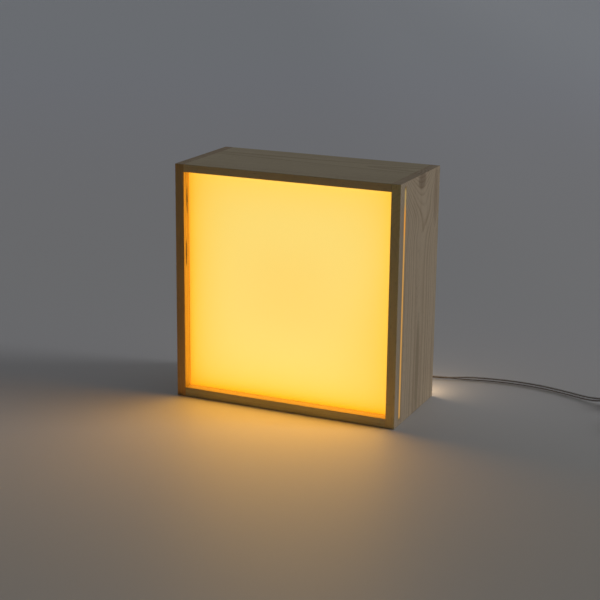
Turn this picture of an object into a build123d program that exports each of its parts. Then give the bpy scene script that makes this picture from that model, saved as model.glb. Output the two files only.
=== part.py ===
from build123d import *
import os
from math import atan, cos, degrees, pi, radians, sin, sqrt, tan

os.makedirs("parts", exist_ok=True)

# ---------------------------------------------------------------- driving dimensions, mm
W = 300.0            # case width, X
H = 304.0            # case height, Z
D = 140.0            # case depth, Y
T = 12.0             # side and bottom board thickness
TT = 10.0            # top board thickness
EASE = 0.8           # sanded edges of the boards

PANEL_IN = 16.5      # middle of the panel behind the front edges
PANEL_T = 5.0        # opal sheet
SLOT_W = 5.6         # groove and slot width
GROOVE = 5.0         # groove depth in the boards
PANEL_GAP = 0.3      # play above and below the panel

BACK_T = 5.0         # back panel
BACK_IN = 3.0        # back panel behind the rear edges
BLOCK = 18.0         # corner block section
BLOCK_L = 28.0       # corner block length

EXIT_X = 85.0        # where the lead leaves the back panel
EXIT_Z = 20.0
CORD_D = 6.6         # flat lead, its width
CORD_T = 3.3         # flat lead, its thickness
RELIEF_L = 20.0      # tapered sleeve outside the panel

RING = 82.0          # half side of the LED loop
STRIP_W = 10.0
CHIP_PITCH = 50.0 / 3.0

COIL_X, COIL_Y = 452.0, 64.0   # middle of the stored coil
COIL_R = 44.0        # outermost turn
COIL_PITCH = 3.6     # from turn to turn
COIL_TURNS = 2.5     # turns in each of the two layers
COIL_LIFT = 0.7      # tie strap under the coil

SW_X0, SW_X1, SW_Y = 384.0, 444.0, 129.0   # in-line switch
SW_W, SW_H, SW_Z = 26.0, 17.0, 8.5
ROCK_TILT = 8.0      # rocker angle in either position

PLUG_X, PLUG_Z = 489.0, 6.85
PLUG_Y = 7.0        # rear end of the plug's sleeve

# ---------------------------------------------------------------- derived
X0, X1 = -W / 2, W / 2
Y0, Y1 = -D / 2, D / 2
PY = Y0 + PANEL_IN
BO = Y1 - BACK_IN            # outer face of the back panel
BI = BO - BACK_T             # inner face of the back panel
RC = CORD_D / 2


# ---------------------------------------------------------------- helpers
def bx(x0, x1, y0, y1, z0, z1):
    return Pos((x0 + x1) / 2, (y0 + y1) / 2, (z0 + z1) / 2) * Box(
        abs(x1 - x0), abs(y1 - y0), abs(z1 - z0)
    )


def cx(x0, x1, y, z, r):
    return Pos((x0 + x1) / 2, y, z) * Rot(0, 90, 0) * Cylinder(r, abs(x1 - x0))


def cy(y0, y1, x, z, r):
    return Pos(x, (y0 + y1) / 2, z) * Rot(90, 0, 0) * Cylinder(r, abs(y1 - y0))


def cz(z0, z1, x, y, r):
    return Pos(x, y, (z0 + z1) / 2) * Cylinder(r, abs(z1 - z0))


def cone_y(y0, y1, x, z, r0, r1):
    """A cone along Y, radius r0 at y0 and r1 at y1, y0 below y1."""
    return Pos(x, (y0 + y1) / 2, z) * Rot(-90, 0, 0) * Cone(r0, r1, y1 - y0)


def turned_y(profile, x, z):
    """A turned solid about Y from (radius, y) points; the first and last lie on the axis."""
    face = make_face(Polyline(*profile, close=True))
    return Pos(x, 0, z) * revolve(face, Axis.Y, 360)


def run_along(points, radii, r):
    """A round tube along straight runs joined by tangent arcs."""
    line = FilletPolyline(*points, radius=radii)
    start = Vector(*points[0])
    way = (Vector(*points[1]) - start).normalized()
    tube = sweep(Plane(origin=start, z_dir=way) * Circle(r), path=line)
    return tube, line


def free_tube(points, name, r=RC):
    """The lead's tube: each arc as large as its two runs allow."""
    v = [Vector(*p) for p in points]
    radii = []
    for a, b, c in zip(v[:-2], v[1:-1], v[2:]):
        turn = (b - a).get_angle(c - b)
        radii.append(0.45 * min((b - a).length, (c - b).length) / tan(radians(turn) / 2))
    tube, line = run_along(points, radii, r)
    want = pi * r * r * line.length
    print(
        f"{name}: length {line.length:.1f}, volume {tube.volume:.0f} of {want:.0f}, radii",
        " ".join(f"{x:.0f}" for x in radii),
    )
    return tube, line.length


def wire(points, radius, r):
    tube, _ = run_along(points, [radius] * (len(points) - 2), r)
    return tube


def keep(name, *solids):
    """One named node: a single solid, or a group of separate ones."""
    parts = []
    for s in solids:
        parts += list(s.solids())
    for p in parts:
        assert p.is_valid, name
    shape = parts[0] if len(parts) == 1 else Compound(children=parts)
    shape.label = name
    export_step(shape, f"parts/{name}.step")
    return shape


# ---------------------------------------------------------------- the four boards
def board(x0, x1, z0, z1, edges):
    b = bx(x0, x1, Y0, Y1, z0, z1)
    return fillet(edges(b), EASE)


left = board(X0, X0 + T, 0, H, lambda b: b.edges())
left -= bx(X0 + T - GROOVE, X0 + T, PY - SLOT_W / 2, PY + SLOT_W / 2, T - GROOVE, H - TT + GROOVE)

right = board(X1 - T, X1, 0, H, lambda b: b.edges())
right -= bx(X1 - T - 1, X1 + 1, PY - SLOT_W / 2, PY + SLOT_W / 2, T - GROOVE, H - TT + GROOVE)

top = board(X0 + T, X1 - T, H - TT, H, lambda b: b.edges().filter_by(Axis.X))
top -= bx(X0 + T, X1 - T, PY - SLOT_W / 2, PY + SLOT_W / 2, H - TT - 1, H - TT + GROOVE)

bottom = board(X0 + T, X1 - T, 0, T, lambda b: b.edges().filter_by(Axis.X))
bottom -= bx(X0 + T, X1 - T, PY - SLOT_W / 2, PY + SLOT_W / 2, T - GROOVE, T + 1)

# hidden dowels: two at each corner joint
dowels = []
for sx in (-1, 1):
    for z in (T / 2, H - TT / 2):
        for y in (-20.0, 40.0):
            a, b = sorted((sx * 118.0, sx * 146.0))
            d = chamfer(cx(a, b, y, z, 2.98).edges().filter_by(GeomType.CIRCLE), 0.6)
            dowels.append(d)
            side = cx(sx * (X1 - T - 1), sx * 146.5, y, z, 3.0)
            end = cx(sx * 117.5, sx * (X1 - T + 1), y, z, 3.0)
            if sx < 0:
                left -= side
            else:
                right -= side
            if z < H / 2:
                bottom -= end
            else:
                top -= end
keep("corner_dowels", *dowels)

# ---------------------------------------------------------------- lead clamp and terminal block, on the bottom board
CL_Y0, CL_Y1 = 38.0, 47.0
oval = lambda y0, y1, w, t: Pos(EXIT_X, (y0 + y1) / 2, EXIT_Z) * Rot(90, 0, 0) * extrude(
    SlotOverall(w, t), amount=(y1 - y0) / 2, both=True
)

clamp_base = bx(EXIT_X - 12, EXIT_X + 12, CL_Y0, CL_Y1, T, EXIT_Z - 0.2)
clamp_bridge = bx(EXIT_X - 12, EXIT_X + 12, CL_Y0, CL_Y1, EXIT_Z + 0.2, EXIT_Z + 5.2)
clamp_bridge = fillet(clamp_bridge.edges().filter_by(Axis.Y).group_by(Axis.Z)[-1], 2.0)
grip = oval(CL_Y0 - 1, CL_Y1 + 1, CORD_D + 0.04, CORD_T + 0.04)
clamp_base -= grip
clamp_bridge -= grip
clamp_screws = []
for dx in (-8.5, 8.5):
    x, y = EXIT_X + dx, (CL_Y0 + CL_Y1) / 2
    hole = cz(4.5, EXIT_Z + 8, x, y, 1.5)
    clamp_base -= hole
    clamp_bridge -= hole
    bottom -= cz(4.5, T + 1, x, y, 1.5)
    s = cz(5.0, EXIT_Z + 5.2, x, y, 1.48) + fillet(
        cz(EXIT_Z + 5.2, EXIT_Z + 7.2, x, y, 2.8).edges().group_by(Axis.Z)[-1], 0.8
    )
    s -= bx(x - 1.8, x + 1.8, y - 0.35, y + 0.35, EXIT_Z + 6.2, EXIT_Z + 8)
    s -= bx(x - 0.35, x + 0.35, y - 1.8, y + 1.8, EXIT_Z + 6.2, EXIT_Z + 8)
    clamp_screws.append(s)
keep("cord_clamp_base", clamp_base)
keep("cord_clamp_bridge", clamp_bridge)
keep("cord_clamp_screws", *clamp_screws)

TB_Y0, TB_Y1 = 6.0, 26.0
block = bx(EXIT_X - 9, EXIT_X + 9, TB_Y0, TB_Y1, T, T + 16)
block = fillet(block.edges().filter_by(Axis.Y), 0.8)
block -= bx(EXIT_X - 0.8, EXIT_X + 0.8, TB_Y0 - 1, TB_Y1 + 1, T + 12.5, T + 17)
tb_screws = []
for sx in (-4.0, 4.0):
    block -= cy(TB_Y0 - 1, TB_Y1 + 1, EXIT_X + sx, EXIT_Z, 1.9)
    for y in (TB_Y0 + 4.5, TB_Y1 - 4.5):
        block -= cz(EXIT_Z, T + 17, EXIT_X + sx, y, 2.0)
        s = cz(EXIT_Z + 1.3, T + 13.5, EXIT_X + sx, y, 1.95)
        s -= bx(EXIT_X + sx - 2.5, EXIT_X + sx + 2.5, y - 0.4, y + 0.4, T + 12.3, T + 14)
        tb_screws.append(s)
ym = (TB_Y0 + TB_Y1) / 2
block -= cz(T - 1, T + 17, EXIT_X, ym, 1.6)
block -= cz(T + 10, T + 17, EXIT_X, ym, 2.9)
bottom -= cz(4.5, T + 1, EXIT_X, ym, 1.5)
fix = cz(5.0, T + 10, EXIT_X, ym, 1.48) + cz(T + 10, T + 12, EXIT_X, ym, 2.7)
fix -= bx(EXIT_X - 1.8, EXIT_X + 1.8, ym - 0.35, ym + 0.35, T + 11, T + 13)
tb_screws.append(fix)
keep("terminal_block", block)
keep("terminal_screws", *tb_screws)

keep("left_side_board", left)
keep("right_side_board", right)
keep("top_board", top)
keep("bottom_board", bottom)

# ---------------------------------------------------------------- the opal panel, in the grooves and out through the side slot
panel = bx(
    X0 + T - GROOVE + 0.5,
    X1,
    PY - PANEL_T / 2,
    PY + PANEL_T / 2,
    T - GROOVE + PANEL_GAP,
    H - TT + GROOVE - PANEL_GAP,
)
panel = chamfer(panel.edges().filter_by(Axis.Z), 0.25)
keep("diffuser_panel", panel)

# ---------------------------------------------------------------- back panel, corner blocks, screws
back = bx(X0 + T + 0.3, X1 - T - 0.3, BI, BO, T + 0.3, H - TT - 0.3)
back = fillet(back.edges().filter_by(Axis.Y), 0.5)
blocks, back_screws = [], []
SX, SZ = X1 - T - BLOCK / 2, T + BLOCK / 2
for sx in (-1, 1):
    for zc in (SZ, H - TT - BLOCK / 2):
        b = bx(sx * SX - BLOCK / 2, sx * SX + BLOCK / 2, BI - BLOCK_L, BI, zc - BLOCK / 2, zc + BLOCK / 2)
        inner = b.edges().filter_by(Axis.Y).sort_by_distance((0, BI - BLOCK_L / 2, H / 2))[0]
        b = chamfer(inner, 5.0)
        b -= cy(BI - 22, BI + 1, sx * SX, zc, 1.6)
        blocks.append(b)
        back -= cy(BI - 1, BO + 1, sx * SX, zc, 1.8)
        back -= cone_y(BO - 1.75, BO, sx * SX, zc, 1.8, 3.55)
        s = turned_y(
            [(0, BI - 21), (0.4, BI - 20.6), (1.55, BI - 17.5), (1.55, BO - 1.9), (3.3, BO - 0.15), (0, BO - 0.15)],
            sx * SX,
            zc,
        )
        s -= bx(sx * SX - 2.0, sx * SX + 2.0, BO - 1.4, BO + 1, zc - 0.4, zc + 0.4)
        s -= bx(sx * SX - 0.4, sx * SX + 0.4, BO - 1.4, BO + 1, zc - 2.0, zc + 2.0)
        back_screws.append(s)
back -= cy(BI - 1, BO + 1, EXIT_X, EXIT_Z, 5.5)
for z in (36.0, 45.0, 54.0):
    slot = Pos(110.0, (BI + BO) / 2, z) * Rot(90, 0, 0) * extrude(SlotOverall(40.0, 4.0), amount=BACK_T, both=True)
    back -= slot
keep("corner_blocks", *blocks)
keep("back_panel_screws", *back_screws)

# ---------------------------------------------------------------- LED strips in a square loop on the back panel
ZC = (T + H - TT) / 2
SY = BI - 0.6
e = RING + STRIP_W / 2
strips = [
    bx(-e, e, SY, BI, ZC + RING - STRIP_W / 2, ZC + RING + STRIP_W / 2),
    bx(-e, e, SY, BI, ZC - RING - STRIP_W / 2, ZC - RING + STRIP_W / 2),
]
vz = RING - STRIP_W / 2 - 2.0
for sx in (-1, 1):
    strips.append(bx(sx * RING - STRIP_W / 2, sx * RING + STRIP_W / 2, SY, BI, ZC - vz, ZC + vz))
keep("led_strip_boards", *strips)


def chip(x, z):
    c = bx(x - 2.5, x + 2.5, SY - 1.6, SY, z - 2.5, z + 2.5)
    return c - cy(SY - 1.7, SY - 1.2, x, z, 1.9)


chips = []
for k in range(10):
    x = (k - 4.5) * CHIP_PITCH
    chips += [chip(x, ZC + RING), chip(x, ZC - RING)]
for k in range(9):
    z = ZC + (k - 4) * CHIP_PITCH
    chips += [chip(-RING, z), chip(RING, z)]
keep("led_chips", *chips)

jumpers = []
for sx, sz in ((-1, 1), (-1, -1), (1, -1)):
    for dx in (-2.0, 2.0):
        x = sx * RING + dx
        za, zb = ZC + sz * (RING - STRIP_W / 2 + 3.0), ZC + sz * (vz - 3.0)
        y = SY - 0.6
        pts = [(x, y, za), (x, y - 2.2, za - sz * 2.6), (x, y - 2.2, zb + sz * 2.6), (x, y, zb)]
        jumpers.append(wire(pts, 1.5, 0.55))
keep("strip_jumper_leads", *jumpers)

# ---------------------------------------------------------------- LED driver, upright on the back panel at the lower right
DX0, DX1, DZ0, DZ1 = 98.0, 134.0, 66.0, 166.0
DYM, DYF = BI - 12.0, BI - 24.0
WALL = 1.6
DXC = (DX0 + DX1) / 2
base = bx(DX0, DX1, DYM, BI, DZ0, DZ1)
base = fillet(base.edges().filter_by(Axis.Y), 2.0)
base -= bx(DX0 + WALL, DX1 - WALL, DYM - 1, BI - WALL, DZ0 + WALL, DZ1 - WALL)
for z0, z1 in ((DZ0 - 8, DZ0 + 1), (DZ1 - 1, DZ1 + 8)):
    tab = bx(DXC - 8, DXC + 8, BI - 2, BI, z0, z1)
    base += fillet(tab.edges().filter_by(Axis.Y), 0.9)
for x in (DX0 + 5, DX1 - 5):
    for z in (DZ0 + 6, DZ1 - 6):
        base += cy(BI - 4.4, BI - WALL + 0.2, x, z, 2.0)
cover = bx(DX0, DX1, DYF, DYM, DZ0, DZ1)
cover = fillet(cover.edges().filter_by(Axis.Y), 2.0)
cover = fillet(cover.edges().group_by(Axis.Y)[0], 1.0)
cover -= bx(DX0 + WALL, DX1 - WALL, DYF + WALL, DYM + 1, DZ0 + WALL, DZ1 - WALL)
for k in range(5):
    z = DZ1 - 16 - 5 * k
    cover -= bx(DXC - 10, DXC + 10, DYF - 1, DYF + 3, z - 0.9, z + 0.9)
driver_screws = []
for z in (DZ0 - 4.2, DZ1 + 4.2):
    base -= cy(BI - 3, BI + 1, DXC, z, 1.7)
    back -= cy(BI - 1, BO - 0.4, DXC, z, 1.5)
    s = cy(BI - 2, BO - 0.6, DXC, z, 1.45) + cy(BI - 4, BI - 2, DXC, z, 2.8)
    s -= bx(DXC - 1.8, DXC + 1.8, BI - 5, BI - 3.1, z - 0.35, z + 0.35)
    s -= bx(DXC - 0.35, DXC + 0.35, BI - 5, BI - 3.1, z - 1.8, z + 1.8)
    driver_screws.append(s)
LY = BI - 7.4
for x in (DXC - 4, DXC + 4):
    base -= cz(DZ0 - 1, DZ0 + 3, x, LY, 1.25)
    base -= cz(DZ1 - 3, DZ1 + 1, x, LY, 1.25)
keep("driver_base", base)
keep("driver_cover", cover)
keep("driver_screws", *driver_screws)
keep("back_panel", back)

PB = BI - 6.0                      # front of the circuit board
board_pcb = bx(DX0 + 2, DX1 - 2, PB, PB + 1.6, DZ0 + 2.5, DZ1 - 2.5)
keep("driver_circuit_board", board_pcb)
keep(
    "driver_components",
    fillet(bx(DXC - 10, DXC + 10, PB - 14.5, PB, 104.0, 122.0).edges().filter_by(Axis.Y), 1.0),
    cy(PB - 12.0, PB, DXC + 8, 88.0, 4.0),
    cy(PB - 13.5, PB, DXC - 8, 90.0, 5.0),
    cy(PB - 12.0, PB, DXC - 8, 134.0, 4.0),
    bx(DXC + 3, DXC + 13, PB - 10.0, PB, 130.0, 138.0),
    bx(DXC - 12, DXC - 3, PB - 7.0, PB, 150.0, 153.5),
)

# leads from the terminal block to the driver, and from the driver to the loop
keep(
    "driver_input_leads",
    wire([(EXIT_X + 4, 10, EXIT_Z), (EXIT_X + 4, -4, EXIT_Z), (105, -8, 30), (119, 6, 42), (DXC + 4, 42, 48), (DXC + 4, LY, 60), (DXC + 4, LY, 74)], 4.0, 1.1),
    wire([(EXIT_X - 4, 10, EXIT_Z), (EXIT_X - 4, -10, EXIT_Z), (102, -15, 33), (112, 4, 46), (DXC - 4, 42, 50), (DXC - 4, LY, 60), (DXC - 4, LY, 74)], 4.0, 1.1),
)
keep(
    "driver_output_leads",
    wire([(DXC + 4, LY, 158), (DXC + 4, LY, 181), (105, SY - 3.8, 196.0), (85.2, SY - 1.0, 195.7)], 4.0, 0.9),
    wire([(DXC - 4, LY, 158), (DXC - 4, LY, 178), (102, SY - 3.4, 192.0), (85.2, SY - 1.0, 192.0)], 4.0, 0.9),
)

# ---------------------------------------------------------------- strain relief and the inner end of the lead
RO = BO + 2.0                      # outer face of the flange
RE = BO + 2.0 + RELIEF_L           # free end of the sleeve
relief = cy(BI - 3, BO, EXIT_X, EXIT_Z, 5.4)
relief += cy(BO, RO, EXIT_X, EXIT_Z, 8.0)
relief += cone_y(BI - 3.4, BI - 0.0, EXIT_X, EXIT_Z, 5.2, 6.4)
relief += cone_y(RO, RE, EXIT_X, EXIT_Z, 6.0, 4.3)
for k in range(5):
    y = RO + 2.6 + 3.3 * k
    r = 6.0 - 1.7 * (y - RO) / RELIEF_L
    ring = cy(y, y + 1.5, EXIT_X, EXIT_Z, r + 2) - cy(y - 1, y + 3, EXIT_X, EXIT_Z, r - 0.75)
    relief -= ring
relief -= oval(BI - 6, RE + 1, CORD_D + 0.2, CORD_T + 0.2)
keep("strain_relief", relief)

tail = oval(30.0, RE, CORD_D, CORD_T)
for side in (1, -1):
    notch = Pos(EXIT_X, (30.0 + RE) / 2, EXIT_Z + side * (CORD_T / 2 + 0.25)) * Rot(0, 45, 0) * Box(1.3, RE - 30.0 + 2, 1.3)
    tail -= notch
keep("inner_cord_tail", tail)
keep(
    "inner_cord_cores",
    wire([(EXIT_X - 1.65, 30.0, EXIT_Z), (EXIT_X - 1.65, 28.8, EXIT_Z), (EXIT_X - 4.0, 25.4, EXIT_Z), (EXIT_X - 4.0, 18.0, EXIT_Z)], 1.6, 0.9),
    wire([(EXIT_X + 1.65, 30.0, EXIT_Z), (EXIT_X + 1.65, 28.8, EXIT_Z), (EXIT_X + 4.0, 25.4, EXIT_Z), (EXIT_X + 4.0, 18.0, EXIT_Z)], 1.6, 0.9),
)

# ---------------------------------------------------------------- the free lead
lamp_side = [
    (EXIT_X, RE, EXIT_Z),
    (EXIT_X, 106.0, EXIT_Z),
    (89.5, 121.0, 15.2),
    (101.0, 131.0, 8.6),
    (121.0, 134.8, 4.3),
    (150.0, 142.2, 3.4),
    (190.0, 154.5, 3.4),
    (232.0, 160.2, 3.4),
    (272.0, 157.8, 3.4),
    (308.0, 148.4, 3.4),
    (342.0, 135.5, 3.9),
    (365.0, SW_Y, SW_Z),
    (SW_X0, SW_Y, SW_Z),
]
coil_side = [
    (SW_X1, SW_Y, SW_Z),
    (460.0, SW_Y, SW_Z),
    (478.0, 121.8, 5.8),
    (490.0, 106.0, 4.5),
    (495.4, 86.0, 4.1),
    (COIL_X + COIL_R, 67.0, COIL_LIFT + RC),
]
plug_side = [
    (COIL_X + COIL_R, 64.0, COIL_LIFT + RC + CORD_D),
    (COIL_X + COIL_R, 48.5, 10.6),
    (494.0, 34.0, 8.6),
    (PLUG_X, 20.5, PLUG_Z),
    (PLUG_X, PLUG_Y, PLUG_Z),
]
total = 0.0
for name, pts in (
    ("power_cord_lamp_side", lamp_side),
    ("power_cord_coil_side", coil_side),
    ("power_cord_plug_side", plug_side),
):
    tube, length = free_tube(pts, name)
    keep(name, tube)
    total += length

# stored coil: the outer shape of two layers of turns lying on edge
rin = COIL_R - COIL_PITCH * COIL_TURNS
coil = cz(COIL_LIFT, COIL_LIFT + 2 * CORD_D, COIL_X, COIL_Y, COIL_R + CORD_T / 2)
coil -= cz(-1, COIL_LIFT + 2 * CORD_D + 1, COIL_X, COIL_Y, rin - CORD_T / 2)
coil = fillet(coil.edges().filter_by(GeomType.CIRCLE), 1.2)
keep("cord_coil", coil)
turns = 2 * COIL_TURNS * 2 * pi * (COIL_R + rin) / 2
total += turns + (SW_X1 - SW_X0)
print(f"lead in all: {total:.0f} mm, of it {turns:.0f} mm in the coil")

tie = bx(
    COIL_X - COIL_R - CORD_T / 2 - 0.9,
    COIL_X - rin + CORD_T / 2 + 0.7,
    COIL_Y - 5,
    COIL_Y + 5,
    0,
    COIL_LIFT + 2 * CORD_D + 0.8,
)
tie = fillet(tie.edges().filter_by(Axis.Y), 1.4)
tie -= coil
tie = tie.solids().sort_by(SortBy.VOLUME)[-1]
keep("coil_tie", tie)

# ---------------------------------------------------------------- in-line switch
SXC = (SW_X0 + SW_X1) / 2
lo = bx(SW_X0, SW_X1, SW_Y - SW_W / 2, SW_Y + SW_W / 2, 0, SW_Z)
lo = fillet(lo.edges().filter_by(Axis.Z), 6.0)
lo = fillet(lo.edges().group_by(Axis.Z)[0], 1.0)
up = bx(SW_X0, SW_X1, SW_Y - SW_W / 2, SW_Y + SW_W / 2, SW_Z, SW_H)
up = fillet(up.edges().filter_by(Axis.Z), 6.0)
up = fillet(up.edges().group_by(Axis.Z)[-1], 3.0)
room = bx(SW_X0 + 2, SW_X1 - 2, SW_Y - SW_W / 2 + 2, SW_Y + SW_W / 2 - 2, 1.8, SW_H - 1.8)
room = fillet(room.edges().filter_by(Axis.Z), 4.0)
lo -= room
up -= room
entry = Pos(SXC, SW_Y, SW_Z) * Rot(0, 90, 0) * extrude(Rot(0, 0, 90) * SlotOverall(CORD_D + 0.2, CORD_T + 0.2), amount=40, both=True)
lo -= entry
up -= entry
PZ = 12.4                          # rocker pivot height
window = bx(SXC - 9.6, SXC + 9.6, SW_Y - 5.8, SW_Y + 5.8, SW_H - 4, SW_H + 1)
up -= window
for s in (-1, 1):
    a, b = sorted((SW_Y + s * 5.7, SW_Y + s * 8.2))
    up += bx(SXC - 3, SXC + 3, a, b, 10.2, SW_H - 1.7)
    up -= cy(a - (0.5 if s > 0 else -0.4), b + (-0.4 if s > 0 else 0.5), SXC, PZ, 1.02)
switch_screws = []
for x, y in ((SW_X0 + 8.5, SW_Y + 7.2), (SW_X1 - 8.5, SW_Y - 7.2)):
    lo += cz(1.0, SW_Z, x, y, 3.0)
    up += cz(SW_Z, SW_H - 1.7, x, y, 3.0)
    lo -= cz(-1, SW_Z + 1, x, y, 1.35)
    lo -= cz(-1, 2.2, x, y, 2.4)
    up -= cz(SW_Z - 1, 14.0, x, y, 1.25)
    s = cz(2.2, 13.5, x, y, 1.2) + cz(0.6, 2.2, x, y, 2.3)
    s -= bx(x - 1.5, x + 1.5, y - 0.3, y + 0.3, 0, 1.3)
    s -= bx(x - 0.3, x + 0.3, y - 1.5, y + 1.5, 0, 1.3)
    switch_screws.append(s)
keep("switch_lower_shell", lo)
keep("switch_upper_shell", up)
keep("switch_screws", *switch_screws)

profile = Polyline(
    (-8.6, 1.4), (-8.6, 5.9), (-6.2, 6.0), (0.0, 5.0), (6.2, 6.0), (8.6, 5.9), (8.6, 1.4), (3.4, -0.4), (2.4, -1.9), (-2.4, -1.9), (-3.4, -0.4), close=True
)
rocker = extrude(Plane.XZ * make_face(profile), amount=5.2, both=True)
rocker = fillet(rocker.edges().filter_by(Axis.Y).group_by(Axis.Z)[-1], 0.6)
rocker -= Rot(90, 0, 0) * Cylinder(1.06, 14)
# three moulded ribs mark the off end
for k in range(3):
    rocker += Pos(4.6 + 1.3 * k, 0, 5.62 + 0.12 * k) * Box(0.5, 6.0, 1.0)
rocker = Pos(SXC, SW_Y, PZ) * Rot(0, -ROCK_TILT, 0) * rocker
keep("switch_rocker", rocker)
keep("rocker_pin", cy(SW_Y - 7.7, SW_Y + 7.7, SXC, PZ, 1.0))

contacts = []
for s in (-1, 1):
    c = bx(SXC + s * 13 - 4, SXC + s * 13 + 4, SW_Y - 4.0, SW_Y + 2.0, 1.8, 8.0)
    c -= cx(SXC + s * 13 - 5, SXC + s * 13 + 5, SW_Y - 1.0, 5.4, 1.1)
    c += bx(SXC + s * 9 - 3.5 * s - 2.0, SXC + s * 9 - 3.5 * s + 2.0, SW_Y - 3.0, SW_Y + 1.0, 1.8, 4.6)
    c += bx(min(SXC + s * 4, SXC + s * 10), max(SXC + s * 4, SXC + s * 10), SW_Y - 3.0, SW_Y + 1.0, 3.6, 4.6)
    contacts.append(c)
keep("switch_contacts", *contacts)
keep(
    "switch_inner_cores",
    wire([(SW_X0 + 2.2, SW_Y + 1.65, SW_Z), (SW_X0 + 5.0, SW_Y + 1.8, SW_Z - 0.3), (SW_X0 + 14, SW_Y + 3.4, SW_Z - 3.5), (SW_X1 - 14, SW_Y + 3.4, SW_Z - 3.5), (SW_X1 - 5.0, SW_Y + 1.8, SW_Z - 0.3), (SW_X1 - 2.2, SW_Y + 1.65, SW_Z)], 2.0, 0.7),
    wire([(SW_X0 + 2.2, SW_Y - 1.65, SW_Z), (SW_X0 + 5.0, SW_Y - 1.6, SW_Z - 0.4), (SW_X0 + 10.0, SW_Y - 1.0, 5.5), (SW_X0 + 14.5, SW_Y - 1.0, 5.4)], 1.6, 0.7),
    wire([(SW_X1 - 2.2, SW_Y - 1.65, SW_Z), (SW_X1 - 5.0, SW_Y - 1.6, SW_Z - 0.4), (SW_X1 - 10.0, SW_Y - 1.0, 5.5), (SW_X1 - 14.5, SW_Y - 1.0, 5.4)], 1.6, 0.7),
)

# ---------------------------------------------------------------- two-pin plug
FY = PLUG_Y - 20.0                 # where the sleeve meets the body
NY = FY - 34.0                     # pin face
hw = 17.6
outline = Polyline(
    (PLUG_X - hw, NY), (PLUG_X + hw, NY), (PLUG_X + hw, NY + 9), (PLUG_X + 11.5, NY + 19), (PLUG_X + 7.2, FY), (PLUG_X - 7.2, FY), (PLUG_X - 11.5, NY + 19), (PLUG_X - hw, NY + 9), close=True
)
body = extrude(make_face(outline), amount=2 * PLUG_Z)
body = fillet(body.edges().filter_by(Axis.Z), 3.0)
body = fillet(body.edges().group_by(Axis.Z)[0] + body.edges().group_by(Axis.Z)[-1], 1.6)
body += cone_y(FY - 1, PLUG_Y, PLUG_X, PLUG_Z, 5.8, 4.2)
for k in range(4):
    y = FY + 3.6 + 3.6 * k
    r = 5.8 - 1.6 * (y - FY) / 20.0
    body -= cy(y, y + 1.7, PLUG_X, PLUG_Z, r + 2) - cy(y - 1, y + 3, PLUG_X, PLUG_Z, r - 0.8)
for s in (-1, 1):
    body -= cy(NY - 1, NY + 8, PLUG_X + s * 9.5, PLUG_Z, 2.3)
keep("plug_body", body)
pins = []
for s in (-1, 1):
    pins.append(
        turned_y(
            [(0, NY + 7.8), (2.3, NY + 7.8), (2.3, NY), (1.55, NY), (1.55, NY - 10), (2.0, NY - 10), (2.0, NY - 18), (1.6, NY - 18.75), (0.8, NY - 19), (0, NY - 19)],
            PLUG_X + s * 9.5,
            PLUG_Z,
        )
    )
keep("plug_pins", *pins)
sleeves = []
for s in (-1, 1):
    sleeves.append(
        cy(NY - 10, NY, PLUG_X + s * 9.5, PLUG_Z, 2.0) - cy(NY - 11, NY + 1, PLUG_X + s * 9.5, PLUG_Z, 1.55)
    )
keep("plug_pin_sleeves", *sleeves)
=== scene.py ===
import math

import bmesh
import bpy
from mathutils import Matrix, Vector


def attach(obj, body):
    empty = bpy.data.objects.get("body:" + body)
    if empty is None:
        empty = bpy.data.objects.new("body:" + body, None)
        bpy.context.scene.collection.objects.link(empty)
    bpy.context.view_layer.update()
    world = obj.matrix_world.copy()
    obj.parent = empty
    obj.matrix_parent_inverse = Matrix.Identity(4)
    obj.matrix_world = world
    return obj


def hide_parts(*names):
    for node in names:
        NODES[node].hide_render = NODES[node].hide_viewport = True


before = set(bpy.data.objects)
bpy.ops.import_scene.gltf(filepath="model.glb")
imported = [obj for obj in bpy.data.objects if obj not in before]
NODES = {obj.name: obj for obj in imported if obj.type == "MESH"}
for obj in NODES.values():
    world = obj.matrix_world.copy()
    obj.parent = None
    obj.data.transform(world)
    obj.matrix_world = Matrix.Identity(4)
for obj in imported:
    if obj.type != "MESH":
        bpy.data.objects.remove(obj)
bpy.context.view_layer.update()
scene = bpy.context.scene
scene.view_settings.view_transform = "Standard"
scene.view_settings.look = "None"

MM = 0.001


def mm(*v):
    return Vector(v) * MM


# ------------------------------------------------------------------ camera
YAW, PITCH, ROLL = math.radians(23.9413), math.radians(15.4873), math.radians(0.6345)
back = Vector((math.sin(YAW) * math.cos(PITCH), -math.cos(YAW) * math.cos(PITCH), math.sin(PITCH)))
right = Vector((math.cos(YAW), math.sin(YAW), 0))
up = back.cross(right)
right, up = (
    math.cos(ROLL) * right + math.sin(ROLL) * up,
    -math.sin(ROLL) * right + math.cos(ROLL) * up,
)
cam_data = bpy.data.cameras.new("camera")
cam_data.sensor_width = 36.0
cam_data.lens = 91.3594
cam_data.clip_start, cam_data.clip_end = 0.05, 60.0
camera = bpy.data.objects.new("camera", cam_data)
scene.collection.objects.link(camera)
turn = Matrix((right, up, back)).transposed()
camera.matrix_world = Matrix.Translation(mm(753.5405, -1716.5687, 647.9222)) @ turn.to_4x4()
scene.camera = camera


# ------------------------------------------------------------------ mesh helpers
def new_object(name, verts, faces, uvs=None, smooth=True):
    mesh = bpy.data.meshes.new(name)
    mesh.from_pydata([tuple(v) for v in verts], [], faces)
    if uvs is not None:
        layer = mesh.uv_layers.new(name="UVMap")
        for poly in mesh.polygons:
            for li, vi in zip(poly.loop_indices, poly.vertices):
                layer.data[li].uv = uvs[vi]
    mesh.validate()
    for p in mesh.polygons:
        p.use_smooth = smooth
    mesh.update()
    obj = bpy.data.objects.new(name, mesh)
    scene.collection.objects.link(obj)
    return obj


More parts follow.
